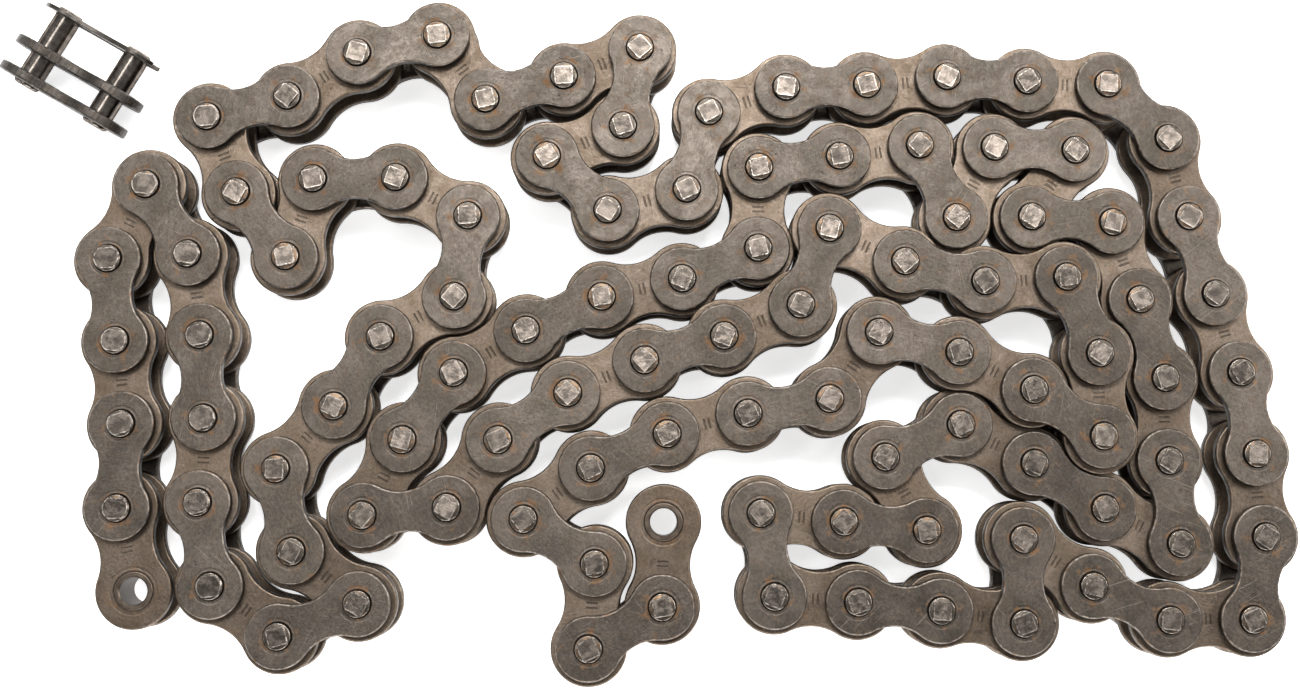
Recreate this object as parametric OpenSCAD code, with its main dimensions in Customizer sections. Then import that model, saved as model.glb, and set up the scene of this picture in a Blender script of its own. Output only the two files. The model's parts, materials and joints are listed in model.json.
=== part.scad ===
// Roller drive chain, 15.875 mm pitch, lying on its side in folded strands,
// with its separate clip-type connecting link set down beside it.
// Lengths in mm, headings in degrees. Part origin: bottom centre of the whole lay.

/* [Plates] */
// distance between neighbouring pin centres
pitch = 15.875; // [15.87:0.001:15.88]
// thickness of every side plate
plate_t = 2; // [1.8:0.05:2]
// clear width between the two inner plates
inner_width = 6.35; // [6.32:0.01:6.38]
// side gap between an inner plate and the outer plate over it
side_gap = 0.35; // [0.32:0.01:0.38]
// radius of an inner plate's round ends
inner_r = 7.25; // [7:0.05:7.25]
// half height of an inner plate at its waist
inner_waist = 5.2; // [4.8:0.1:5.4]
// radius of an outer plate's round ends
outer_r = 6.2; // [6:0.05:6.2]
// half height of an outer plate at its waist
outer_waist = 3.85; // [3.6:0.05:4]

/* [Pins, bushings and rollers] */
// pin diameter
pin_d = 5.09; // [5.05:0.01:5.1]
// pin length over the riveted tips
pin_l = 17.4; // [17.2:0.1:17.6]
// height of the squared tip left by riveting
tip_h = 0.45; // [0.3:0.05:0.6]
// width across the flats of the squared tip
tip_w = 3.9; // [3.7:0.1:4.3]
// outside diameter of a bushing
bushing_d = 7.4; // [7.3:0.02:7.4]
// bore of a bushing
bushing_bore = 5.2; // [5.16:0.01:5.24]
// length of a bushing
bushing_l = 10.45; // [10.42:0.01:10.48]
// roller diameter
roller_d = 10.16; // [10:0.02:10.16]
// length of a roller
roller_l = 6.2; // [6.1:0.05:6.25]
// bore of a roller
roller_bore = 7.5; // [7.5:0.02:7.6]
// radial clearance where a pin or bushing is pressed into its plate
press_gap = 0.01; // [0.005:0.005:0.02]

/* [Lay] */
// side play taken up by each link where a strand climbs over its neighbours
climb_step = 0.205; // [0.15:0.005:0.205]
// height that the climbing strand reaches
climb_top = 2.25; // [1.8:0.05:2.25]
// link where the climb begins
climb_from = 73; // [73:1:73]

/* [Connecting link] */
// where its pin plate lies: across, from the chain's first bushing
cl_x = -26; // [-30:0.5:-25]
// where its pin plate lies: away, from the chain's first bushing
cl_y = 100.2; // [98:0.1:104]
// heading of its pins
cl_turn = 60; // [55:1:60]
// distance between pin plate and cover plate, middle to middle
cover_at = 6; // [4:0.5:12]
// how far the pin heads stand out behind the pin plate
head_h = 0.7; // [0.5:0.05:0.8]
// thickness of the spring clip
clip_t = 0.9; // [0.8:0.05:0.9]
// diameter of the clip groove in each pin
groove_d = 4.1; // [4:0.05:4.1]
// width of the spring clip's slot
clip_slot = 4.15; // [4.15:0.01:4.2]
// radius of the spring clip's round ends
clip_r = 5; // [4.6:0.1:5.2]
// half height of the spring clip at its waist
clip_waist = 4; // [3.8:0.1:4.2]

/* [Hidden] */
$fn = 64;

// heading of every link, from end A to end B, set by eye strand by strand
heading = [
  // left edge, going up
  101, 89, 96, 97, 65,
  // tight fold, down, and round the lower left corner
  -58, -80, -86, -92, -80, -36, 22,
  // fold back up
  142, 102, 48, 57, 29, 81, 152,
  // small hook at the upper left
  -179, -108, 128, 112,
  // top left run
  15, 33, 13, -53, 17, 21,
  // dip in the middle of the top
  -102, -158, -42, 15, 74, 18,
  // top right run
  2, 6, -3, -2, -43,
  // right edge, going down
  -77, -73, -74, -81, -86, -101,
  // turn in from the right
  180, 156, 146,
  // inner right strand
  -91, 171, 174, 176, 99,
  // second strand under the top run
  -6, -6, 119, 23, -28, -33, -25,
  // back up
  96, 91, 106, 108,
  // upper middle, going left
  176, 56, 178, -119, 116, -172, -172,
  // long strand down to the left
  -91, -158, -167, -156, -149, -127, -117,
  // raised strand, going right
  5, 53, 34, 23, 17, 22, 69,
  // crest of the raised strand
  -24, -14, 3, -68, -89,
  // bottom strand, going left
  146, 153, 166, -127, -170, -166, -156, -143,
  // end B
  -32, -94, 29, 89
];
links = len(heading);

function step(k) = k < links ? heading[k] : 0;
lay_x = [for (k = 0, x = 0; k <= links; x = x + pitch * cos(step(k)), k = k + 1) x];
lay_y = [for (k = 0, y = 0; k <= links; y = y + pitch * sin(step(k)), k = k + 1) y];

// heights, counted from a link's own middle plane
inner_in = inner_width / 2;
inner_out = inner_in + plate_t;
outer_in = inner_out + side_gap;
outer_out = outer_in + plate_t;
bushing_r = bushing_d / 2;

function climb(k) =
  max(0, min(climb_step * (k - climb_from), climb_top, climb_step * (links - k)));
function mid_z(k) = pin_l / 2 + climb(k);

// the connecting link, counted along its pins from the middle of the pin plate
cl_head = -plate_t / 2 - head_h;
cl_cover_shut = outer_in + outer_out;
cl_clip = cl_cover_shut + plate_t / 2 + 0.1 + clip_t / 2;

function cl_at(s, t) =
  [cl_x + s * cos(cl_turn) + t * sin(cl_turn), cl_y + s * sin(cl_turn) - t * cos(cl_turn)];
cl_corners = [
  for (t = [-outer_r, pitch + outer_r], s = [-plate_t / 2, cover_at + plate_t / 2]) cl_at(s, t),
  for (t = [-clip_r, pitch + clip_r], s = [cl_clip + clip_t / 2]) cl_at(s, t),
  for (t = [-pin_d / 2, pitch + pin_d / 2], s = [cl_head, cl_head + pin_l]) cl_at(s, t)
];

// bottom centre of everything
low_x = min(min(lay_x) - inner_r, min([for (c = cl_corners) c[0]]));
high_x = max(max(lay_x) + inner_r, max([for (c = cl_corners) c[0]]));
low_y = min(min(lay_y) - inner_r, min([for (c = cl_corners) c[1]]));
high_y = max(max(lay_y) + inner_r, max([for (c = cl_corners) c[1]]));
mid_x = (low_x + high_x) / 2;
mid_y = (low_y + high_y) / 2;

// which links each part of the chain is made of: even ones are inner, odd ones outer
run_inner = [12:2:96];
run_outer = [13:2:95];
span_inner = [6:2:8];
span_outer = [7:2:9];
a_inner = [1, 3, 5, 11];
a_outer = [2, 4, 6, 12];
b_inner = [1, 3, 5];
b_outer = [2, 4, 6];

// ---- shapes ----

// round-ended plate with a waist and two holes, from the origin along +X
module plate(r, waist, hole_r) {
  arc_r = (pow(pitch / 2, 2) + waist * waist - r * r) / (2 * (r - waist));
  arc_y = waist + arc_r;
  side = r * arc_y / (r + arc_r);
  linear_extrude(height = plate_t)
    difference() {
      union() {
        circle(r = r);
        translate([pitch, 0]) circle(r = r);
        translate([0, -side]) square([pitch, 2 * side]);
      }
      for (y = [-arc_y, arc_y]) translate([pitch / 2, y]) circle(r = arc_r);
      for (x = [0, pitch]) translate([x, 0]) circle(r = hole_r);
    }
}

module tube(d, bore, l) {
  difference() {
    cylinder(d = d, h = l, center = true);
    cylinder(d = bore, h = l + 2, center = true);
  }
}

// riveted pin: a round body whose tips are pressed square
module riveted_pin(turn) {
  intersection() {
    cylinder(d = pin_d, h = pin_l, center = true);
    union() {
      cylinder(d = pin_d + 2, h = pin_l - 2 * tip_h, center = true);
      rotate([0, 0, turn]) cube([tip_w, tip_w, pin_l + 2], center = true);
    }
  }
}

// ---- kinds of piece on the chain, each given the links that it belongs to ----

module on_link(k, z) {
  translate([lay_x[k] - mid_x, lay_y[k] - mid_y, mid_z(k) + z]) rotate([0, 0, heading[k]]) children();
}

module inner_plates(ks, zs = [-inner_out, inner_in]) {
  for (k = ks) for (z = zs) on_link(k, z) plate(inner_r, inner_waist, bushing_r + press_gap);
}

module outer_plates(ks, zs = [-outer_out, outer_in]) {
  for (k = ks) for (z = zs) on_link(k, z) plate(outer_r, outer_waist, pin_d / 2 + press_gap);
}

module bushings(ks) {
  for (k = ks) for (x = [0, pitch]) on_link(k, 0) translate([x, 0, 0]) tube(bushing_d, bushing_bore, bushing_l);
}

module rollers(ks, xs = [0, pitch]) {
  for (k = ks) for (x = xs) on_link(k, 0) translate([x, 0, 0]) tube(roller_d, roller_bore, roller_l);
}

module pins(ks) {
  for (k = ks) for (x = [0, 1]) on_link(k, 0) translate([x * pitch, 0, 0]) riveted_pin((37 * (k + x)) % 90);
}

// link of the lay for the nth link of each end
function a_link(n) = n - 1;
function b_link(n) = links - n;

// ---- main run ----

module run_inner_plates_lower() { color("#6f675c") inner_plates(run_inner, [-inner_out]); }
module run_inner_plates_upper() { color("#7a7266") inner_plates(run_inner, [inner_in]); }
module run_bushings() { color("#55524e") bushings(run_inner); }
module run_rollers() { color("#3a3a3c") rollers(run_inner); }
module run_outer_plates_lower() { color("#3f4347") outer_plates(run_outer, [-outer_out]); }
module run_outer_plates_upper() { color("#4a4f54") outer_plates(run_outer, [outer_in]); }
module run_pins() { color("#9a9690") pins(run_outer); }

// ---- straight span near end A, packed between its neighbours ----

module a_span_inner_plates() { color("#7a7266") inner_plates(span_inner); }
module a_span_bushings() { color("#55524e") bushings(span_inner); }
module a_span_rollers() { color("#3a3a3c") rollers(span_inner); }
module a_span_outer_plates() { color("#4a4f54") outer_plates(span_outer); }
module a_span_pins() { color("#9a9690") pins(span_outer); }

// ---- single links near the ends ----

module link_inner_plates(k) { color("#7a7266") inner_plates([k]); }
module link_bushings(k) { color("#55524e") bushings([k]); }
module link_roller(k, x) { color("#3a3a3c") rollers([k], [x]); }
module link_outer_plates(k) { color("#4a4f54") outer_plates([k]); }
module link_pins(k) { color("#9a9690") pins([k]); }

// ---- connecting link, standing on its plates' edges with its pins level ----

// places children so that +X runs along the plates, +Y up and -Z along the pins
module on_cl(s) {
  translate([cl_x - mid_x + s * cos(cl_turn), cl_y - mid_y + s * sin(cl_turn), outer_r])
    rotate([90, 0, cl_turn - 90]) children();
}

module connecting_pin_plate() {
  color("#4a4f54") on_cl(0) translate([0, 0, -plate_t / 2])
    plate(outer_r, outer_waist, pin_d / 2 + press_gap);
}

module connecting_pins() {
  color("#b5b1aa")
    for (x = [0, pitch]) on_cl(0) translate([x, 0, -cl_head - pin_l])
      difference() {
        cylinder(d = pin_d, h = pin_l);
        translate([0, 0, cl_head + pin_l - cl_clip - clip_t / 2 - 0.05])
          difference() {
            cylinder(d = pin_d + 2, h = clip_t + 0.1);
            translate([0, 0, -1]) cylinder(d = groove_d, h = clip_t + 2);
          }
      }
}

module cover_plate() {
  color("#4a4f54") on_cl(cover_at) translate([0, 0, -plate_t / 2])
    plate(outer_r, outer_waist, pin_d / 2 + 0.05);
}

module spring_clip() {
  arc_r = (pow(pitch / 2, 2) + clip_waist * clip_waist - clip_r * clip_r) / (2 * (clip_r - clip_waist));
  arc_y = clip_waist + arc_r;
  side = clip_r * arc_y / (clip_r + arc_r);
  color("#8e8a84") on_cl(cl_clip) translate([0, 0, -clip_t / 2])
    linear_extrude(height = clip_t)
      difference() {
        union() {
          circle(r = clip_r);
          translate([pitch, 0]) circle(r = clip_r);
          translate([0, -side]) square([pitch, 2 * side]);
        }
        for (y = [-arc_y, arc_y]) translate([pitch / 2, y]) circle(r = arc_r);
        circle(d = clip_slot);
        translate([0, -clip_slot / 2]) square([pitch + 2 * clip_r, clip_slot]);
      }
}

// ---- the whole ----

run_inner_plates_lower();
run_inner_plates_upper();
run_bushings();
run_rollers();
run_outer_plates_lower();
run_outer_plates_upper();
run_pins();

a_span_inner_plates();
a_span_bushings();
a_span_rollers();
a_span_outer_plates();
a_span_pins();

for (n = a_inner) {
  link_inner_plates(a_link(n));
  link_bushings(a_link(n));
  link_roller(a_link(n), 0);
  link_roller(a_link(n), pitch);
}
for (n = a_outer) {
  link_outer_plates(a_link(n));
  link_pins(a_link(n));
}
for (n = b_inner) {
  link_inner_plates(b_link(n));
  link_bushings(b_link(n));
  link_roller(b_link(n), 0);
  link_roller(b_link(n), pitch);
}
for (n = b_outer) {
  link_outer_plates(b_link(n));
  link_pins(b_link(n));
}

connecting_pin_plate();
connecting_pins();
cover_plate();
spring_clip();
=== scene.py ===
"""The folded drive chain's looks: plates with rolled rims, riveted pins, bushings, rollers and
the loose connecting link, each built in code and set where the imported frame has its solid.
Shapes are worked out in millimetres and placed in metres."""

import json
import math

import bpy
import numpy as np
from mathutils import Matrix, Vector
from mathutils.geometry import tessellate_polygon


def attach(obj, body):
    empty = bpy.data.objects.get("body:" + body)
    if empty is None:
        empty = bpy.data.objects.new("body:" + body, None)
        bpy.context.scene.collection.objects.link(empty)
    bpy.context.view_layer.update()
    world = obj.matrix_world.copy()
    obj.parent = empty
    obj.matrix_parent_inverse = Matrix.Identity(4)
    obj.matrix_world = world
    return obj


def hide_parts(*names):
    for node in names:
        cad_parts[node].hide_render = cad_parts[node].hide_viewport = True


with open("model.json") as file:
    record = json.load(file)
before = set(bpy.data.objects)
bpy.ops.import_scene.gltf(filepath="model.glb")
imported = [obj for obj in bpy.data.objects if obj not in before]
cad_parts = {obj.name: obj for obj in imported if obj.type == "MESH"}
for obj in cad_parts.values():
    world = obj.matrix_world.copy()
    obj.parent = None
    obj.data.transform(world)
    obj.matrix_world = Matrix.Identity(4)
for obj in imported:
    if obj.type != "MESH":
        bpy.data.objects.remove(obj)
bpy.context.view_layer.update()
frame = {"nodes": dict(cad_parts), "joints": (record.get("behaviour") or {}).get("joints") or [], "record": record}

MM = 0.001

# ---------------------------------------------------------------- sizes, in millimetres
PITCH = 15.875
PLATE_T = 2.0
INNER_R, INNER_WAIST, INNER_HOLE = 7.25, 5.2, 3.7
OUTER_R, OUTER_WAIST, OUTER_HOLE = 6.2, 3.85, 2.545
PIN_R, PIN_L = 2.545, 17.4
BUSH_R, BUSH_BORE_R, BUSH_L, BUSH_EDGE = 3.7, 2.6, 10.45, 0.25
ROLLER_R, ROLLER_BORE_R, ROLLER_L, ROLLER_EDGE, ROLLER_BORE_EDGE = 5.08, 3.75, 6.2, 0.35, 0.1
CLIP_R, CLIP_WAIST, CLIP_SLOT, CLIP_T = 5.0, 4.0, 4.15, 0.9
GROOVE_R, GROOVE_W = 2.05, 1.0
# rolled rims and hole chamfers
PLATE_RIM, CLIP_RIM, OUTER_CHAMFER, INNER_CHAMFER = 0.42, 0.15, 0.28, 0.12
# a riveted pin's shoulder is this much smaller than the pin, and its flats lie this far out
SHOULDER_STEP = 0.16
FLAT_AT, FLAT_SPREAD = 1.72, 0.16
# the pins at the far left are pressed on two sides: their flats on the four sides, their turn in
# degrees, and how much of their random tone they keep, the first number being brightness
LEFT_PINS_BELOW_X = -80
LEFT_FLATS_AT, LEFT_FLAT_SPREAD = (2.39, 1.95, 2.39, 1.95), 0.1
LEFT_TURN, LEFT_TURN_SPREAD = -8, 44
LEFT_TONE = (0.3, 1, 1)
# how far a pin's tip stands over its shoulder
TIP_H, TIP_H_SPREAD = 0.42, 0.1
# a loose bit of a node's mesh narrower than this is a sliver of its tessellation
SLIVER = 3.0
# corners round a hole, a pin tip and a turned piece
HOLE_STEPS, TIP_STEPS, TURNED_STEPS = 40, 56, 48
# corners along a plate's round end and its waist, and across a plate's and a tube's rim
END_STEPS, WAIST_STEPS, PLATE_RIM_STEPS, TUBE_RIM_STEPS = 46, 16, 11, 9
# a solid pin's end closes at this radius
AXIS_R = 0.01
# how far apart in the noise two copies of a shape can lie, in millimetres
NOISE_SPREAD = 57.0


# ---------------------------------------------------------------- the camera

def look():
    """The photograph's camera: place in mm, turns in radians, lens in mm, and the small shift
    of its frame as a part of the frame's width."""
    place = (2.665, -30.799, 361.835)
    tilt, lean, roll = 0.118767, -0.027832, 0.000235
    data = bpy.data.cameras.new("camera")
    data.sensor_fit = "HORIZONTAL"
    data.sensor_width = 36.0
    data.lens = 50.0112
    data.shift_x, data.shift_y = -0.0408077, -0.0509923
    data.clip_start = 0.01
    data.clip_end = 20.0
    camera = bpy.data.objects.new("camera", data)
    bpy.context.scene.collection.objects.link(camera)
    turn = Matrix.Rotation(tilt, 4, "X") @ Matrix.Rotation(lean, 4, "Y")
    turn = turn @ Matrix.Rotation(roll, 4, "Z")
    camera.matrix_world = Matrix.Translation(Vector(place) * MM) @ turn
    bpy.context.scene.camera = camera


look()


# ---------------------------------------------------------------- where the solids lie

def loose_parts(node):
    """The separate solids of a CAD node: middle, longest direction and height span, in mm."""
    mesh = frame["nodes"][node].data
    mesh.calc_loop_triangles()
    points = np.empty(len(mesh.vertices) * 3)
    mesh.vertices.foreach_get("co", points)
    points = points.reshape(-1, 3) / MM
    tris = np.empty(len(mesh.loop_triangles) * 3, dtype=np.int32)
    mesh.loop_triangles.foreach_get("vertices", tris)
    keys, index = np.unique(np.round(points * 1000).astype(np.int64), axis=0, return_inverse=True)
    tris = index.reshape(-1)[tris.reshape(-1, 3)]
    label = np.arange(len(keys))
    while True:
        low = label[tris].min(axis=1)
        new = label.copy()
        for corner in range(3):
            np.minimum.at(new, tris[:, corner], low)
        new = new[new]
        if (new == label).all():
            break
        label = new
    xyz = keys / 1000.0
    found = []
    owner = label[tris[:, 0]]
    for name in np.unique(owner):
        corners = xyz[tris[owner == name]]
        cross = np.cross(corners[:, 1] - corners[:, 0], corners[:, 2] - corners[:, 0])
        area = np.linalg.norm(cross, axis=1) / 2
        low, high = corners.reshape(-1, 3).min(0), corners.reshape(-1, 3).max(0)
        if np.hypot(*(high - low)[:2]) < SLIVER:
            continue
        middle = (corners.mean(1) * area[:, None]).sum(0) / area.sum()
        spread = np.zeros((3, 3))
        for a, b, weight in ((0, 0, 1), (1, 1, 1), (2, 2, 1), (0, 1, 1), (1, 2, 1), (2, 0, 1)):
            p, q = corners[:, a] - middle, corners[:, b] - middle
            spread += np.einsum("i,ij,ik->jk", area * weight, p, q)
        spread = spread + spread.T
        long_way = np.linalg.eigh(spread)[1][:, 2]
        found.append({"middle": middle, "long": long_way, "low": low, "high": high})
    return sorted(found, key=lambda part: tuple(round(place, 2) for place in part["middle"][:2]))


def upright(part, flip=False):
    """Turn and place of a solid whose axis is vertical and whose long side lies level."""
    x, y = part["long"][:2] / np.hypot(*part["long"][:2])
    if flip:
        x, y = -x, -y
    turn = np.array([[x, -y, 0], [y, x, 0], [0, 0, 1.0]])
    place = np.array([part["middle"][0], part["middle"][1], (part["low"][2] + part["high"][2]) / 2])
    return turn, place


# ---------------------------------------------------------------- unit shapes
# A shape is a dict of arrays: v points, n normals, f triangles, and rim, which is 1 on rounded
# edges, 0 on faces and -1 on the cut walls of plates.

def shape(points, normals, faces, rim):
    """Turns every triangle so that it faces the way its normals do."""
    points, normals = np.asarray(points, float), np.asarray(normals, float)
    faces = np.asarray(faces, int)
    corners = points[faces]
    cross = np.cross(corners[:, 1] - corners[:, 0], corners[:, 2] - corners[:, 0])
    wrong = np.einsum("ij,ij->i", cross, normals[faces].sum(1)) < 0
    faces[wrong] = faces[wrong][:, ::-1]
    keep = np.linalg.norm(cross, axis=1) > 1e-9
    return {"v": points, "n": normals, "f": faces[keep], "rim": np.asarray(rim, float)}


def joined(shapes):
    """Several shapes as one."""
    start, faces = 0, []
    for s in shapes:
        faces.append(s["f"] + start)
        start += len(s["v"])
    out = {key: np.concatenate([s[key] for s in shapes]) for key in ("v", "n", "rim")}
    out["f"] = np.concatenate(faces)
    return out


def strip(rows):
    """A surface through closed rings. Each row is (points, normals, rim) of one ring."""
    count = len(rows[0][0])
    points = np.concatenate([row[0] for row in rows])
    normals = np.concatenate([row[1] for row in rows])
    rim = np.concatenate([np.full(count, float(row[2])) for row in rows])
    here = np.arange(count)
    after = (here + 1) % count
    faces = []
    for i in range(len(rows) - 1):
        a, b = i * count, (i + 1) * count
        faces.append(np.stack([a + here, a + after, b + after], 1))
        faces.append(np.stack([a + here, b + after, b + here], 1))
    return shape(points, normals, np.concatenate(faces), rim)


def flat_cap(loops, z, up):
    """A level face bounded by an outer ring and any holes."""
    rings = [[Vector((x, y, 0)) for x, y in loop] for loop in loops]
    faces = tessellate_polygon(rings)
    flat = np.concatenate([np.asarray(loop, float) for loop in loops])
    points = np.column_stack([flat, np.full(len(flat), z)])
    normals = np.tile([0, 0, 1.0 if up else -1.0], (len(flat), 1))
    return shape(points, normals, faces, np.zeros(len(flat)))


def circle(radius, count, middle=(0, 0)):
    """Points of a circle, from +X towards +Y."""
    turn = np.linspace(0, 2 * math.pi, count, endpoint=False)
    return np.column_stack([middle[0] + radius * np.cos(turn), middle[1] + radius * np.sin(turn)])


def plate_outline(end_r, waist):
    """The outline of a waisted plate about its middle, and its outward normals."""
    half = PITCH / 2
    arc_r = (half * half + waist * waist - end_r * end_r) / (2 * (end_r - waist))
    arc_y = waist + arc_r
    meet = math.atan2(arc_y, half)
    points, normals = [], []
    for side in (-1, 1):
        for turn in np.linspace(meet, 2 * math.pi - meet, END_STEPS, endpoint=False):
            out = np.array([math.cos(turn), math.sin(turn)]) * -side
            points.append(np.array([side * half, 0]) + end_r * out)
            normals.append(out)
        for turn in np.linspace(0, math.pi - 2 * meet, WAIST_STEPS, endpoint=False):
            # the waist's arc is met from outside, so its normal points to the arc's middle
            angle = (math.pi - meet) - turn if side < 0 else -meet - turn
            out = np.array([math.cos(angle), math.sin(angle)])
            centre = np.array([0, side * arc_y])
            points.append(centre + arc_r * out)
            normals.append(-out)
    return np.array(points), np.array(normals)


def slab(outline, out, rim_r, thick, holes=()):
    """A flat piece cut to an outline, with rolled rims. Holes are (middle, radius, chamfer)."""
    rows = []
    for angle in np.linspace(-90, 90, PLATE_RIM_STEPS):
        turn = math.radians(angle)
        inset = rim_r * (1 - math.cos(turn))
        lift = (thick / 2 - rim_r) * (1 if angle > 0 else -1) + rim_r * math.sin(turn)
        for z in ((lift,) if angle else (rim_r - thick / 2, thick / 2 - rim_r)):
            ring = np.column_stack([outline - out * inset, np.full(len(outline), z)])
            normal = np.column_stack([out * math.cos(turn), np.full(len(outline), math.sin(turn))])
            rows.append((ring, normal, abs(math.sin(2 * turn)) if angle else -1.0))
    pieces = [strip(rows)]
    rings = []
    count = HOLE_STEPS
    spokes = circle(1, count)
    for middle, hole_r, chamfer in holes:
        rings.append(circle(hole_r + chamfer, count, middle))
        at_depth = lambda radius, z: np.column_stack([circle(radius, count, middle),
                                                      np.full(count, z)])
        for side in (1, -1):
            slope = np.column_stack([-spokes * 0.7, np.full(count, 0.7 * side)])
            pieces.append(strip([(at_depth(hole_r + chamfer, side * thick / 2), slope, 1),
                                 (at_depth(hole_r, side * (thick / 2 - chamfer)), slope, 0)]))
        wall = np.column_stack([-spokes, np.zeros(count)])
        pieces.append(strip([(at_depth(hole_r, chamfer - thick / 2), wall, 0),
                             (at_depth(hole_r, thick / 2 - chamfer), wall, 0)]))
    for side, row in ((1, rows[-1]), (-1, rows[0])):
        pieces.append(flat_cap([row[0][:, :2]] + rings, side * thick / 2, side > 0))
    return joined(pieces)


def plate(end_r, waist, hole_r, chamfer):
    """A side plate about its own middle."""
    outline, out = plate_outline(end_r, waist)
    holes = [((side * PITCH / 2, 0), hole_r, chamfer) for side in (-1, 1)]
    return slab(outline, out, PLATE_RIM, PLATE_T, holes)


def clip():
    """The spring clip: a fork whose closed end is round one pin, from pin to pin along +X."""
    half_slot = CLIP_SLOT / 2
    body, _ = plate_outline(CLIP_R, CLIP_WAIST)
    body = body + (PITCH / 2, 0)
    body = body[(body[:, 0] < PITCH) | (np.abs(body[:, 1]) > half_slot + 0.2)]
    mouth = PITCH + math.sqrt(CLIP_R ** 2 - half_slot ** 2)
    bearing = np.unwrap(np.arctan2(body[:, 1], body[:, 0] - PITCH / 2)) % (2 * math.pi)
    body = body[np.argsort(bearing)]
    back = np.radians(np.linspace(270, 90, 19))
    round_pin = np.column_stack([half_slot * np.cos(back), half_slot * np.sin(back)])
    edge = np.linspace(mouth - 0.3, 1.0, 12)
    lower = np.column_stack([edge, np.full(12, -half_slot)])
    upper = np.column_stack([edge[::-1], np.full(12, half_slot)])
    outline = np.concatenate([body, lower, round_pin, upper])
    along = np.roll(outline, -1, 0) - np.roll(outline, 1, 0)
    out = np.column_stack([along[:, 1], -along[:, 0]])
    return slab(outline, out / np.linalg.norm(out, axis=1)[:, None], CLIP_RIM, CLIP_T)


def lathe(runs):
    """A turned shape. Each run is a list of (radius, z, normal out, normal up, rim)."""
    count = TURNED_STEPS
    spokes = circle(1, count)
    pieces = []
    for run in runs:
        rows = []
        for radius, z, n_out, n_up, rim in run:
            size = math.hypot(n_out, n_up)
            ring = np.column_stack([spokes * radius, np.full(count, z)])
            normal = np.column_stack([spokes * n_out / size, np.full(count, n_up / size)])
            rows.append((ring, normal, rim))
        pieces.append(strip(rows))
    return joined(pieces)


def rounded_tube(out_r, bore_r, length, edge, bore_edge):
    """A tube with rounded outer edges and chamfered bore."""
    half = length / 2
    wall = []
    for angle in np.linspace(-90, 90, TUBE_RIM_STEPS):
        turn = math.radians(angle)
        rim = 1 if abs(angle) > 1 else 0
        z = math.copysign(half - edge, angle) + edge * math.sin(turn) if abs(angle) > 1 else 0
        heights = (z,) if abs(angle) > 1 else (edge - half, half - edge)
        radius = out_r - edge * (1 - math.cos(turn))
        for height in heights:
            wall.append((radius, height, math.cos(turn), math.sin(turn), rim))
    runs = [wall]
    for side in (-1, 1):
        runs.append([(out_r - edge, side * half, 0, side, 0),
                     (bore_r + bore_edge, side * half, 0, side, 0)])
        runs.append([(bore_r + bore_edge, side * half, -1, side, 1),
                     (bore_r, side * (half - bore_edge), -1, side, 1)])
    runs.append([(bore_r, bore_edge - half, -1, 0, 0), (bore_r, half - bore_edge, -1, 0, 0)])
    return lathe(runs)


def grooved_pin(groove_at):
    """A connecting link's pin: riveted at its low end, with a clip groove near its top."""
    half = PIN_L / 2
    low, high = groove_at - GROOVE_W / 2, groove_at + GROOVE_W / 2
    return lathe([
        [(AXIS_R, -half, 0, -1, 0), (PIN_R - 0.6, -half, 0, -1, 0)],
        [(PIN_R - 0.6, -half, -0.2, -1, 0), (PIN_R - 0.25, 0.1 - half, 0.6, -0.8, 1),
         (PIN_R, 0.4 - half, 1, -0.1, 1)],
        [(PIN_R, 0.4 - half, 1, 0, 0), (PIN_R, low, 1, 0, 0)],
        [(PIN_R, low, 0, 1, 0), (GROOVE_R, low, 0, 1, 0)],
        [(GROOVE_R, low, 1, 0, 0), (GROOVE_R, high, 1, 0, 0)],
        [(GROOVE_R, high, 0, -1, 0), (PIN_R, high, 0, -1, 0)],
        [(PIN_R, high, 1, 0, 0), (PIN_R, half - 0.35, 1, 0, 0)],
        [(PIN_R, half - 0.35, 0.8, 0.6, 1), (PIN_R - 0.35, half, 0.6, 0.8, 1)],
        [(PIN_R - 0.35, half, 0, 1, 0), (AXIS_R, half, 0, 1, 0)]])


def tip_ring(limits, inset):
    """Outline of a pin tip pressed to flats: a circle cut by four sides at the given distances."""
    turn = np.linspace(0, 2 * math.pi, TIP_STEPS, endpoint=False)
    reach = np.full(TIP_STEPS, PIN_R - SHOULDER_STEP - inset)
    for side, limit in enumerate(limits):
        toward = np.cos(turn - side * math.pi / 2)
        bound = np.where(toward > 0.05, (limit - inset) / np.maximum(toward, 0.05), 99)
        reach = np.minimum(reach, bound)
    points = np.column_stack([reach * np.cos(turn), reach * np.sin(turn)])
    along = np.roll(points, -1, 0) - np.roll(points, 1, 0)
    normal = np.column_stack([along[:, 1], -along[:, 0]])
    return points, normal / np.linalg.norm(normal, axis=1)[:, None]


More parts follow.
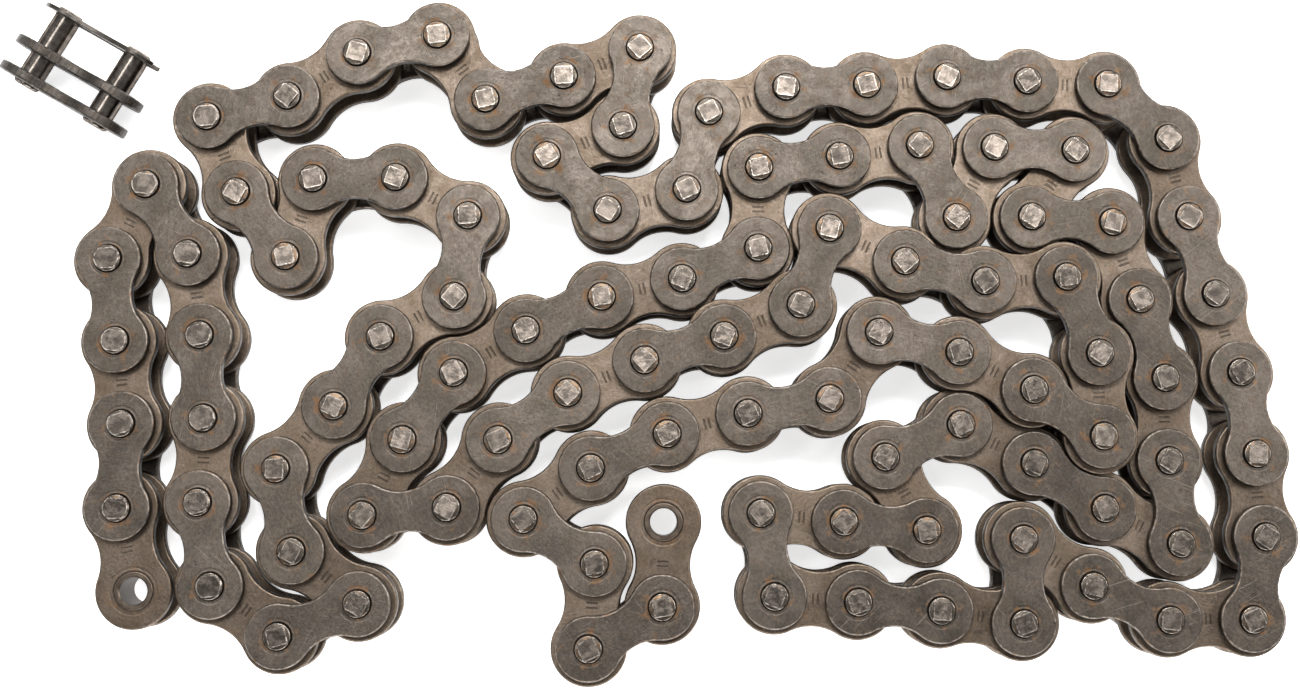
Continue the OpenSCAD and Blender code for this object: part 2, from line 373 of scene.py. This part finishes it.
def riveted_pin(limits, tip_h):
    """A pin whose two tips are pressed to flats, with the cut segments left lower."""
    count = TIP_STEPS
    shoulder_r = PIN_R - SHOULDER_STEP
    spokes = circle(1, count)
    half = PIN_L / 2
    pieces = []
    for end in (-1, 1):
        shoulder = half - tip_h
        level = lambda z: np.full(count, end * z)
        tilt = lambda out, up: np.column_stack([spokes * out, np.full(count, end * up)])
        ring = lambda r, z: np.column_stack([spokes * r, level(z)])
        pieces.append(strip([
            (ring(PIN_R, 0), tilt(1, 0), 0),
            (ring(PIN_R, shoulder - 0.2), tilt(1, 0), 0),
            (ring(PIN_R - 0.05, shoulder - 0.08), tilt(0.85, 0.53), 1),
            (ring(shoulder_r, shoulder), tilt(0.3, 0.95), 1)]))
        foot, foot_n = tip_ring(limits, 0.0)
        top, _ = tip_ring(limits, 0.1)
        crown, _ = tip_ring(limits, 0.3)
        up = np.tile([0, 0, float(end)], (count, 1))
        side = np.column_stack([foot_n, np.zeros(count)])
        slant = np.column_stack([foot_n * 0.7, np.full(count, 0.7 * end)])
        lean = np.column_stack([spokes * 0.15, level(1.0)])
        lean = lean / np.linalg.norm(lean, axis=1)[:, None]
        pieces.append(strip([
            (ring(shoulder_r, shoulder), lean, 0),
            (np.column_stack([foot, level(shoulder + 0.06)]), lean, 0)]))
        pieces.append(strip([
            (np.column_stack([foot, level(shoulder + 0.06)]), side, 0),
            (np.column_stack([foot, level(half - 0.12)]), side, 1)]))
        pieces.append(strip([
            (np.column_stack([foot, level(half - 0.12)]), slant, 1),
            (np.column_stack([top, level(half - 0.02)]), slant, 1)]))
        pieces.append(strip([
            (np.column_stack([top, level(half - 0.02)]), up, 1),
            (np.column_stack([crown, level(half)]), up, 0)]))
        pieces.append(flat_cap([crown], end * half, end > 0))
    return joined(pieces)


# ---------------------------------------------------------------- putting copies into one piece

class Piece:
    """One visible piece: many copies of shapes, with what its material reads at each point."""

    def __init__(self):
        self.arrays = {"v": [], "n": [], "f": [], "at": [], "tone": [], "rim": []}
        self.start = 0

    def add(self, s, turn, place, tone):
        self.arrays["v"].append(s["v"] @ turn.T + place)
        self.arrays["n"].append(s["n"] @ turn.T)
        self.arrays["f"].append(s["f"] + self.start)
        self.arrays["at"].append(s["v"])
        self.arrays["tone"].append(np.tile(tone, (len(s["v"]), 1)))
        self.arrays["rim"].append(s["rim"])
        self.start += len(s["v"])

    def finish(self, name, node, body, slot, material):
        data = {key: np.concatenate(rows) for key, rows in self.arrays.items()}
        mesh = bpy.data.meshes.new(name)
        count, faces = len(data["v"]), len(data["f"])
        mesh.vertices.add(count)
        mesh.vertices.foreach_set("co", (data["v"] * MM).astype(np.float32).ravel())
        mesh.loops.add(faces * 3)
        mesh.loops.foreach_set("vertex_index", data["f"].astype(np.int32).ravel())
        mesh.polygons.add(faces)
        mesh.polygons.foreach_set("loop_start", np.arange(0, faces * 3, 3, dtype=np.int32))
        mesh.update(calc_edges=True)
        mesh.validate()
        mesh.polygons.foreach_set("use_smooth", np.ones(len(mesh.polygons), dtype=bool))
        normals = data["n"] / np.linalg.norm(data["n"], axis=1)[:, None]
        mesh.normals_split_custom_set_from_vertices(normals.astype(np.float32))
        for key, kind in (("at", "FLOAT_VECTOR"), ("tone", "FLOAT_VECTOR"), ("rim", "FLOAT")):
            field = "value" if kind == "FLOAT" else "vector"
            mesh.attributes.new(key, kind, "POINT").data.foreach_set(
                field, data[key].astype(np.float32).ravel())
        mesh.materials.append(material)
        piece = bpy.data.objects.new(name, mesh)
        bpy.context.scene.collection.objects.link(piece)
        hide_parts(node)
        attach(piece, body)


# ---------------------------------------------------------------- materials

class Graph:
    """A material's node tree, built up like a formula."""

    def __init__(self, name):
        self.material = bpy.data.materials.new(name)
        self.material.use_nodes = True
        self.tree = self.material.node_tree
        self.tree.nodes.clear()
        out = self.tree.nodes.new("ShaderNodeOutputMaterial")
        self.shader = self.tree.nodes.new("ShaderNodeBsdfPrincipled")
        self.tree.links.new(self.shader.outputs[0], out.inputs["Surface"])

    def put(self, socket, value):
        if isinstance(value, bpy.types.NodeSocket):
            self.tree.links.new(value, socket)
        else:
            socket.default_value = value

    def attribute(self, name, output="Vector"):
        node = self.tree.nodes.new("ShaderNodeAttribute")
        node.attribute_name = name
        return node.outputs[output]

    def math(self, operation, a, b=0.0, c=0.0, clamp=False):
        node = self.tree.nodes.new("ShaderNodeMath")
        node.operation = operation
        node.use_clamp = clamp
        for socket, value in zip(node.inputs, (a, b, c)):
            self.put(socket, value)
        return node.outputs[0]

    def vector(self, operation, a, b=(0, 0, 0)):
        node = self.tree.nodes.new("ShaderNodeVectorMath")
        node.operation = operation
        self.put(node.inputs[0], a)
        if operation == "SCALE":
            self.put(node.inputs["Scale"], b)
        else:
            self.put(node.inputs[1], b)
        return node.outputs["Value" if operation == "LENGTH" else "Vector"]

    def split(self, value):
        node = self.tree.nodes.new("ShaderNodeSeparateXYZ")
        self.put(node.inputs[0], value)
        return node.outputs

    def join(self, x, y, z):
        node = self.tree.nodes.new("ShaderNodeCombineXYZ")
        for socket, value in zip(node.inputs, (x, y, z)):
            self.put(socket, value)
        return node.outputs[0]

    def step(self, value, low, high, to_low=0.0, to_high=1.0):
        node = self.tree.nodes.new("ShaderNodeMapRange")
        node.interpolation_type = "SMOOTHSTEP"
        for socket, v in zip(node.inputs, (value, low, high, to_low, to_high)):
            self.put(socket, v)
        return node.outputs[0]

    def noise(self, where, scale, detail=3.0, rough=0.5):
        node = self.tree.nodes.new("ShaderNodeTexNoise")
        self.put(node.inputs["Vector"], where)
        node.inputs["Scale"].default_value = scale
        node.inputs["Detail"].default_value = detail
        node.inputs["Roughness"].default_value = rough
        return node.outputs["Fac"]

    def mix(self, amount, a, b):
        node = self.tree.nodes.new("ShaderNodeMix")
        node.data_type = "RGBA"
        self.put(node.inputs["Factor"], amount)
        for socket, value in ((node.inputs[6], a), (node.inputs[7], b)):
            self.put(socket, value if isinstance(value, bpy.types.NodeSocket) else (*value, 1.0))
        return node.outputs[2]

    def tint(self, colour, amount):
        """The colour times a number."""
        node = self.tree.nodes.new("ShaderNodeMix")
        node.data_type = "RGBA"
        node.blend_type = "MULTIPLY"
        node.inputs["Factor"].default_value = 1.0
        self.put(node.inputs[6], colour)
        self.put(node.inputs[7], self.join(amount, amount, amount))
        return node.outputs[2]

    def bump(self, height, strength, distance):
        node = self.tree.nodes.new("ShaderNodeBump")
        node.inputs["Strength"].default_value = strength
        node.inputs["Distance"].default_value = distance
        self.put(node.inputs["Height"], height)
        return node.outputs[0]

    def finish(self, colour, rough, normal=None, metal=1.0):
        self.put(self.shader.inputs["Base Color"], colour)
        self.put(self.shader.inputs["Roughness"], rough)
        self.shader.inputs["Metallic"].default_value = metal
        if normal is not None:
            self.put(self.shader.inputs["Normal"], normal)
        return self.material


def streaks(g, where, turn, along, across):
    """Noise drawn out in one direction, which the turn sets. Scales are per millimetre."""
    x, y, z = g.split(where)
    angle = g.math("MULTIPLY", turn, 2 * math.pi)
    c, s = g.math("COSINE", angle), g.math("SINE", angle)
    u = g.math("ADD", g.math("MULTIPLY", x, c), g.math("MULTIPLY", y, s))
    v = g.math("SUBTRACT", g.math("MULTIPLY", y, c), g.math("MULTIPLY", x, s))
    drawn = g.join(g.math("MULTIPLY", u, along), g.math("MULTIPLY", v, across), z)
    return g.noise(drawn, 1.0, 2.0, 0.5)


RUST, FAINT_RUST = (0.165, 0.09, 0.044), (0.12, 0.08, 0.052)
# near-black painted shade: in the gap round each pin, and in the punched bars' dents
HOLE_PAINTED_SHADE, BAR_PAINTED_SHADE = (0.03, 0.024, 0.02), (0.03, 0.025, 0.02)


def plate_material(name, dark, light, warm, edge, hole_r, rust_amount, bars,
                   painted_wall_tone=(-0.8, -0.55)):
    """Tumbled, heat-treated plate steel: finely scratched, with rims lighter from wear and from a painted
    highlight, and rust at its pins.
    The painted wall tone is how much darker or lighter the cut walls are painted than the faces; the darkening is
    painted shade on the walls."""
    g = Graph(name)
    at, tone = g.attribute("at"), g.attribute("tone")
    rim = g.attribute("rim", "Fac")
    r1, r2, r3 = g.split(tone)
    # every plate gets its own stretch of noise
    where = g.vector("ADD", at, g.vector("SCALE", tone, NOISE_SPREAD))
    cloud = g.noise(where, 0.13, 3.0, 0.55)
    mottle = g.noise(where, 0.5, 5.0, 0.62)
    grain = g.noise(where, 1.8, 5.0, 0.82)
    brushed = streaks(g, where, r2, 0.5, 7.0)
    colour = g.mix(g.step(cloud, 0.36, 0.64), dark, light)
    colour = g.mix(g.step(mottle, 0.45, 0.68, 0.0, 0.45), colour, warm)
    colour = g.tint(colour, g.step(grain, 0.36, 0.64, 0.78, 1.22))
    colour = g.tint(colour, g.step(brushed, 0.3, 0.7, 0.9, 1.1))
    colour = g.tint(colour, g.math("MULTIPLY_ADD", r1, 0.36, 0.82))
    pits = g.step(g.noise(where, 1.7, 2.0, 0.5), 0.69, 0.73)
    colour = g.tint(colour, g.math("MULTIPLY_ADD", pits, -0.35, 1.0))
    # distance from the nearer pin
    x, y, z = g.split(at)
    near = g.vector("LENGTH", g.join(g.math("SUBTRACT", g.math("ABSOLUTE", x), PITCH / 2), y, 0.0))
    # painted shade: a dark ring in the gap round each pin
    hole_gap_painted_shade = g.step(near, hole_r + 0.05, hole_r + 0.4, 1.0, 0.0)
    lip = g.math("MULTIPLY", g.step(near, hole_r + 0.35, hole_r + 0.6),
                 g.step(near, hole_r + 0.75, hole_r + 1.0, 1.0, 0.0))
    # rust gathers round the pins and along the rolled edges
    wall = g.step(g.math("MULTIPLY", rim, -1.0), 0.0, 0.8)
    edged = g.math("MAXIMUM", rim, 0.0)
    rust_noise = g.noise(where, 0.45, 4.0, 0.65)
    at_pin = g.step(near, hole_r + 0.3, hole_r + 2.4, 0.15, 0.0)
    at_edge = g.math("MULTIPLY_ADD", wall, 0.1, g.math("MULTIPLY", edged, 0.15))
    rust = g.math("ADD", rust_noise, g.math("ADD", at_pin, at_edge))
    rust = g.step(rust, 0.62, 0.8, 0.0, rust_amount)
    colour = g.mix(rust, colour, RUST)
    colour = g.mix(g.math("MULTIPLY", hole_gap_painted_shade, 0.7), colour, HOLE_PAINTED_SHADE)
    # lighter rolled rims: partly wear, partly a painted highlight along the rims
    rim_wear_and_highlight = g.math("MULTIPLY", g.step(g.noise(where, 1.1, 3.0, 0.6), 0.38, 0.62, 0.1, 1.0), edged)
    colour = g.mix(g.math("MULTIPLY", rim_wear_and_highlight, 0.7), colour, edge)
    scratch = g.math("MAXIMUM", g.step(streaks(g, where, r3, 0.1, 4.5), 0.68, 0.72),
                     g.step(streaks(g, where, r1, 0.3, 9.0), 0.7, 0.74))
    colour = g.mix(g.math("MULTIPLY", scratch, 0.28), colour, edge)
    # painted shade: the cut walls are painted darker than the faces (lighter on the connecting plates), with shear
    # marks across them
    painted_wall_tone_with_shear = g.join(g.math("MULTIPLY", x, 4.0), g.math("MULTIPLY", y, 4.0), r3)
    painted_wall_tone_with_shear = g.step(g.noise(painted_wall_tone_with_shear, 1.0, 2.0, 0.6), 0.3, 0.7, *painted_wall_tone)
    colour = g.tint(colour, g.math("MULTIPLY_ADD", wall, painted_wall_tone_with_shear, 1.0))
    height = g.math("MULTIPLY_ADD", grain, 0.7, g.math("MULTIPLY", brushed, 0.3))
    height = g.math("MULTIPLY_ADD", mottle, 0.8, height)
    height = g.math("MULTIPLY_ADD", lip, -0.4, height)
    height = g.math("MULTIPLY_ADD", pits, -0.4, height)
    height = g.math("MULTIPLY_ADD", scratch, -0.25, height)
    if bars:
        # two short plain bars, punched across the middle as dents; their near-black colour is painted shade in the
        # dents
        bar = g.math("ABSOLUTE", g.math("SUBTRACT", g.math("ABSOLUTE", x), 0.45))
        bar = g.math("MULTIPLY", g.step(bar, 0.1, 0.2, 1.0, 0.0),
                     g.step(g.math("ABSOLUTE", y), 1.0, 1.15, 1.0, 0.0))
        bar = g.math("MULTIPLY", bar, g.step(z, 0.9, 0.95))
        colour = g.mix(g.math("MULTIPLY", bar, 0.6), colour, BAR_PAINTED_SHADE)
        height = g.math("MULTIPLY_ADD", bar, -1.6, height)
    rough = g.step(mottle, 0.3, 0.7, 0.38, 0.52)
    rough = g.math("MULTIPLY_ADD", rim_wear_and_highlight, -0.1, rough)
    rough = g.math("MULTIPLY_ADD", rust, 0.3, rough, clamp=True)
    return g.finish(colour, rough, g.bump(height, 0.5, 0.00012))


def pin_material(name, bright, low_colour, edge):
    """Pressed pin tips: bright speckled flats with a painted highlight on their edges, above darker segments."""
    g = Graph(name)
    at, tone = g.attribute("at"), g.attribute("tone")
    rim = g.attribute("rim", "Fac")
    r1, _, r3 = g.split(tone)
    where = g.vector("ADD", at, g.vector("SCALE", tone, NOISE_SPREAD))
    speck = g.noise(where, 2.6, 4.0, 0.8)
    crumple = g.noise(where, 0.9, 3.0, 0.6)
    broad = g.noise(where, 0.6, 2.0, 0.5)
    height = g.math("ABSOLUTE", g.split(at)[2])
    end = g.step(height, PIN_L / 2 - 0.3, PIN_L / 2 - 0.16)
    top = g.mix(g.step(speck, 0.36, 0.64), [c * 0.62 for c in bright], bright)
    top = g.tint(top, g.math("MULTIPLY_ADD", r1, 0.75, 0.6))
    top = g.tint(top, g.step(broad, 0.36, 0.64, 0.6, 1.3))
    rust = g.step(g.math("ADD", broad, g.math("MULTIPLY", r3, 0.35)), 0.74, 0.9)
    shade = g.mix(rust, low_colour, FAINT_RUST)
    colour = g.mix(end, shade, top)
    # painted highlight along the tips' pressed edges
    painted_edge_highlight = g.step(g.noise(where, 1.3, 2.0, 0.5), 0.36, 0.6, 0.1, 1.0)
    painted_edge_highlight = g.math("MULTIPLY", rim, painted_edge_highlight)
    colour = g.mix(g.math("MULTIPLY", painted_edge_highlight, 0.85), colour, edge)
    rough = g.math("MULTIPLY_ADD", rim, -0.1, g.step(speck, 0.3, 0.7, 0.33, 0.45))
    dents = g.math("MULTIPLY_ADD", crumple, 3.0, speck)
    return g.finish(colour, rough, g.bump(dents, 0.5, 0.00006))


def turned_material(name, dark, light, roughness, ring, relief=0.25, grazing=1.0):
    """Turned and hardened steel, with fine rings round its axis and a painted highlight on its
    rounded edges. Grazing is how much of the light it keeps at a grazing angle."""
    g = Graph(name)
    at, tone = g.attribute("at"), g.attribute("tone")
    rim = g.attribute("rim", "Fac")
    where = g.vector("ADD", at, g.vector("SCALE", tone, NOISE_SPREAD))
    x, y, z = g.split(at)
    radius = g.vector("LENGTH", g.join(x, y, 0.0))
    cloud = g.noise(where, 0.7, 3.0, 0.6)
    rings = g.join(g.math("MULTIPLY", radius, ring), g.math("MULTIPLY", z, ring), 0.0)
    rings = g.noise(rings, 1.0, 2.0, 0.6)
    colour = g.mix(g.step(cloud, 0.35, 0.65), dark, light)
    colour = g.tint(colour, g.step(rings, 0.3, 0.7, 0.85, 1.15))
    # painted highlight: the rounded edges and bore chamfers are painted lighter
    colour = g.mix(g.math("MULTIPLY", rim, 0.35), colour, [min(1, c * 1.8) for c in light])
    rough = g.math("MULTIPLY_ADD", cloud, 0.12, roughness - 0.06)
    g.shader.inputs["Specular Tint"].default_value = (grazing, grazing, grazing, 1)
    return g.finish(colour, rough, g.bump(rings, relief, 0.00008))


# plates: dark and light tone, warm patches, edges lightened by wear and a painted highlight, hole, rust, bars
OUTER_STEEL = plate_material(
    "outer_plate_steel", (0.0593, 0.0508, 0.042), (0.0864, 0.0727, 0.0613),
    (0.0756, 0.0566, 0.042), (0.281, 0.244, 0.209), OUTER_HOLE, 0.7, False)
INNER_STEEL = plate_material(
    "inner_plate_steel", (0.0939, 0.0715, 0.0531), (0.13, 0.102, 0.0799),
    (0.111, 0.0779, 0.0516), (0.211, 0.17, 0.131), INNER_HOLE, 0.6, True)
CONNECTING_PLATE_STEEL = plate_material(
    "connecting_plate_steel", (0.0286, 0.0251, 0.0225), (0.0487, 0.0427, 0.0381),
    (0.0401, 0.0329, 0.026), (0.171, 0.154, 0.135), OUTER_HOLE, 0.05, False, (0.2, 1.6))
# riveted pins: tips, low segments, painted edge highlight
PIN_STEEL = pin_material(
    "pin_steel", (0.15, 0.127, 0.108), (0.064, 0.0535, 0.0435), (0.42, 0.374, 0.327))
# turned pieces: dark and light tone, roughness, rings per millimetre
BUSHING_STEEL = turned_material(
    "bushing_steel", (0.0572, 0.0437, 0.0339), (0.0975, 0.0768, 0.06), 0.4, 6.0)
ROLLER_STEEL = turned_material(
    "roller_steel", (0.0171, 0.0141, 0.0115), (0.0344, 0.0284, 0.0235), 0.38, 3.0)
CONNECTING_PIN_STEEL = turned_material(
    "connecting_pin_steel", (0.12, 0.104, 0.092), (0.21, 0.184, 0.163), 0.2, 1.2,
    relief=0.02, grazing=0.15)
CLIP_STEEL = turned_material(
    "clip_steel", (0.0515, 0.0455, 0.0396), (0.0861, 0.0768, 0.0679), 0.32, 2.0)


# ---------------------------------------------------------------- building every node

def draws(name):
    """Random numbers that belong to a node's name."""
    seed = sum((i + 1) * letter for i, letter in enumerate(name.encode()))
    return np.random.default_rng(seed)


OUTER_PLATE = plate(OUTER_R, OUTER_WAIST, OUTER_HOLE, OUTER_CHAMFER)
INNER_PLATE = plate(INNER_R, INNER_WAIST, INNER_HOLE, INNER_CHAMFER)
BUSHING = rounded_tube(BUSH_R, BUSH_BORE_R, BUSH_L, BUSH_EDGE, BUSH_EDGE)
ROLLER = rounded_tube(ROLLER_R, ROLLER_BORE_R, ROLLER_L, ROLLER_EDGE, ROLLER_BORE_EDGE)

bodies = frame["record"]["behaviour"]["bodies"]
body_of = {node: body for body, nodes in bodies.items() for node in nodes}
slot_of = {part["node"]: part["material_slot"] for part in frame["record"]["subparts"]}

STRAND_MATERIALS = {"outer_plate_steel": OUTER_STEEL, "inner_plate_steel": INNER_STEEL,
                    "pin_steel": PIN_STEEL, "bushing_steel": BUSHING_STEEL,
                    "roller_steel": ROLLER_STEEL}


def build(node):
    """A chain node: one copy of its kind of shape for each of its solids."""
    random = draws(node)
    piece = Piece()
    kind = slot_of[node]
    for part in loose_parts(node):
        tone = random.random(3)
        if kind in ("outer_plate_steel", "inner_plate_steel"):
            turn, place = upright(part, random.random() < 0.5)
            flat = OUTER_PLATE if kind == "outer_plate_steel" else INNER_PLATE
            piece.add(flat, turn, place, tone)
            continue
        spin = random.random() * math.pi * 2
        place = np.append(part["middle"][:2], (part["low"][2] + part["high"][2]) / 2)
        limits = FLAT_AT + random.random(4) * FLAT_SPREAD
        if kind == "pin_steel" and place[0] < LEFT_PINS_BELOW_X:
            # pressed on two sides only, much the same way round, and darker
            limits = np.array(LEFT_FLATS_AT) + random.random(4) * LEFT_FLAT_SPREAD
            spin = math.radians(LEFT_TURN + LEFT_TURN_SPREAD * random.random() ** 2)
            tone = tone * LEFT_TONE
        turn = np.array(Matrix.Rotation(spin, 3, "Z"))
        if kind == "pin_steel":
            tip_h = TIP_H + TIP_H_SPREAD * random.random()
            piece.add(riveted_pin(limits, tip_h), turn, place, tone)
        else:
            piece.add(BUSHING if kind == "bushing_steel" else ROLLER, turn, place, tone)
    piece.finish("vis_" + node, node, body_of[node], kind, STRAND_MATERIALS[kind])


def axis_of(joint):
    """A joint's direction, from the frame."""
    return np.array(next(j["axis"] for j in frame["joints"] if j["name"] == joint), float)


def build_connecting_link():
    """The loose link, on edge: X from its closed-clip pin to the other, Z along the pins."""
    along_pins, off_pins = axis_of("cover_plate_slide"), axis_of("spring_clip_slide")
    turn = np.column_stack([-off_pins, np.cross(along_pins, -off_pins), along_pins])
    pins = sorted(loose_parts("connecting_pins"), key=lambda part: -part["middle"] @ off_pins)
    near, far = (((part["low"] + part["high"]) / 2) for part in pins)
    random = draws("connecting link")
    middle = (near + far) / 2
    for node in ("connecting_pin_plate", "cover_plate"):
        part = loose_parts(node)[0]
        box_middle = (part["low"] + part["high"]) / 2
        place = middle + along_pins * ((box_middle - middle) @ along_pins)
        piece = Piece()
        piece.add(OUTER_PLATE, turn, place, random.random(3))
        piece.finish("vis_" + node, node, body_of[node], slot_of[node], CONNECTING_PLATE_STEEL)
    part = loose_parts("spring_clip")[0]
    clip_level = ((part["low"] + part["high"]) / 2 - near) @ along_pins
    piece = Piece()
    piece.add(clip(), turn, near + along_pins * clip_level, random.random(3))
    piece.finish("vis_spring_clip", "spring_clip", body_of["spring_clip"],
                 "clip_steel", CLIP_STEEL)
    piece = Piece()
    for place in (near, far):
        piece.add(grooved_pin(clip_level), turn, place, random.random(3))
    piece.finish("vis_connecting_pins", "connecting_pins", body_of["connecting_pins"],
                 "connecting_pin_steel", CONNECTING_PIN_STEEL)


LOOSE_LINK = ("connecting_pin_plate", "connecting_pins", "cover_plate", "spring_clip")
for node in frame["nodes"]:
    if node not in LOOSE_LINK:
        build(node)
build_connecting_link()


# ---------------------------------------------------------------- floor and light

def softbox(name, place, size, power, aim=(0, 0, 0)):
    """A rectangular area light, turned to the point it aims at."""
    data = bpy.data.lights.new(name, "AREA")
    data.shape = "RECTANGLE"
    data.size, data.size_y = size
    data.energy = power
    lamp = bpy.data.objects.new(name, data)
    bpy.context.scene.collection.objects.link(lamp)
    lamp.location = place
    lamp.rotation_euler = (Vector(aim) - Vector(place)).to_track_quat("-Z", "Y").to_euler()


def studio():
    """A pale floor, six softboxes and a dim sky. Places and sizes in metres, powers in watts."""
    mesh = bpy.data.meshes.new("floor")
    reach = 6
    corners = [(-reach, -reach, 0), (reach, -reach, 0), (reach, reach, 0), (-reach, reach, 0)]
    mesh.from_pydata(corners, [], [(0, 1, 2, 3)])
    floor = bpy.data.objects.new("floor", mesh)
    bpy.context.scene.collection.objects.link(floor)
    g = Graph("floor")
    where = g.tree.nodes.new("ShaderNodeTexCoord").outputs["Object"]
    paper = g.step(g.noise(where, 900.0, 2.0, 0.5), 0.3, 0.7, 0.99, 1.0)
    # a lit sheet, so that the gaps between the strands stay pale
    g.shader.inputs["Emission Color"].default_value = (1, 1, 1, 1)
    g.shader.inputs["Emission Strength"].default_value = 0.7
    mesh.materials.append(g.finish(g.join(paper, paper, paper), 0.7, None, 0.0))
    softbox("key", (0.05, 0.5, 1.1), (0.5, 0.35), 16.0, (0, 0.02, 0))
    softbox("left", (-0.85, 0.2, 0.6), (0.4, 0.7), 2.2)
    softbox("right", (0.85, 0.2, 0.6), (0.4, 0.7), 8.0)
    softbox("front", (0.0, -0.95, 0.5), (1.2, 0.4), 9.0)
    softbox("back", (0.0, 0.95, 0.4), (1.2, 0.3), 5.0)
    # the bright line along the connecting link's pins
    softbox("glint", (-0.32, 0.18, 1.0), (0.3, 0.22), 1.5, (-0.115, 0.06, 0))
    world = bpy.data.worlds.new("world")
    world.use_nodes = True
    sky = world.node_tree.nodes["Background"]
    sky.inputs["Color"].default_value = (1, 1, 1, 1)
    sky.inputs["Strength"].default_value = 0.3
    bpy.context.scene.world = world
    bpy.context.scene.view_settings.view_transform = "Standard"


studio()
